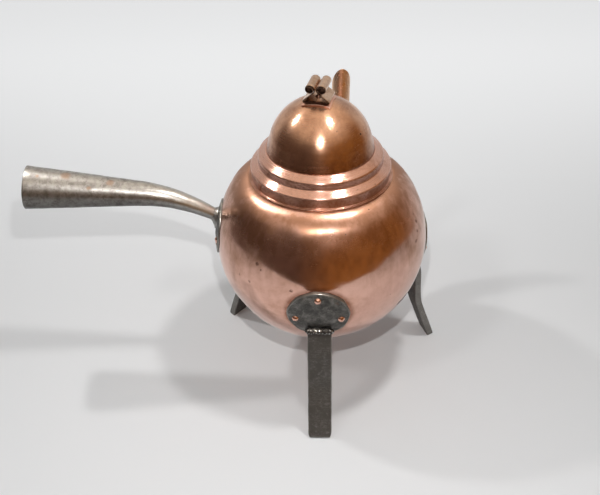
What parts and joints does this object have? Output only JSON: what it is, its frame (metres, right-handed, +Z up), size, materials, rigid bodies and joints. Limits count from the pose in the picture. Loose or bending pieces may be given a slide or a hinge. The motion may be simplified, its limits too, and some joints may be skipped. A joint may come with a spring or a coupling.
{
  "type": "copper hearth kettle",
  "caption": "Globe-shaped copper hearth kettle on riveted iron legs, with a rear spout, an iron socket for a shaft as side handle, and a stepped domed lift-off lid with a scrolled knob.",
  "frame": {"origin": "on the floor, below the middle of the globe", "axes": "+Z up; the handle points to -X; +Y points to the back, where the spout is"},
  "size_m": [0.3967, 0.256, 0.3142],
  "materials": {
    "globe_copper": "polished copper sheet, worn and lightly stained",
    "lid_copper": "polished copper sheet with darker brushed walls",
    "knob_copper": "browned copper strip",
    "spout_copper": "golden brown copper tube with a drawn seam",
    "rivet_copper": "hammered copper rivet",
    "plate_iron": "dark forged iron, scratched",
    "bar_iron": "dark rolled bar with worn edges",
    "weld_iron": "burnt weld bead",
    "handle_iron": "worn grey iron with rust specks"
  },
  "bodies": {
    "kettle": {"body_shell": "globe_copper", "neck_collar": "globe_copper", "spout": "spout_copper", "handle_plate": "plate_iron", "handle_socket": "handle_iron", "handle_weld": "weld_iron", "handle_rivets": "rivet_copper", "front_leg_plate": "plate_iron", "front_leg_bar": "bar_iron", "front_leg_weld": "weld_iron", "front_leg_rivets": "rivet_copper", "right_leg_plate": "plate_iron", "right_leg_bar": "bar_iron", "right_leg_weld": "weld_iron", "right_leg_rivets": "rivet_copper", "left_leg_plate": "plate_iron", "left_leg_bar": "bar_iron", "left_leg_weld": "weld_iron", "left_leg_rivets": "rivet_copper"},
    "lid": {"lid_flange": "lid_copper", "lid_dome": "lid_copper", "lid_sleeve": "lid_copper", "knob_saddle": "lid_copper", "knob_scroll": "knob_copper", "knob_rivet": "rivet_copper"}
  },
  "joints": [
    {"name": "lid_lift", "type": "slide", "parent": "kettle", "child": "lid", "axis": [0, 0, 1], "range_m": [0, 0.06]}
  ]
}
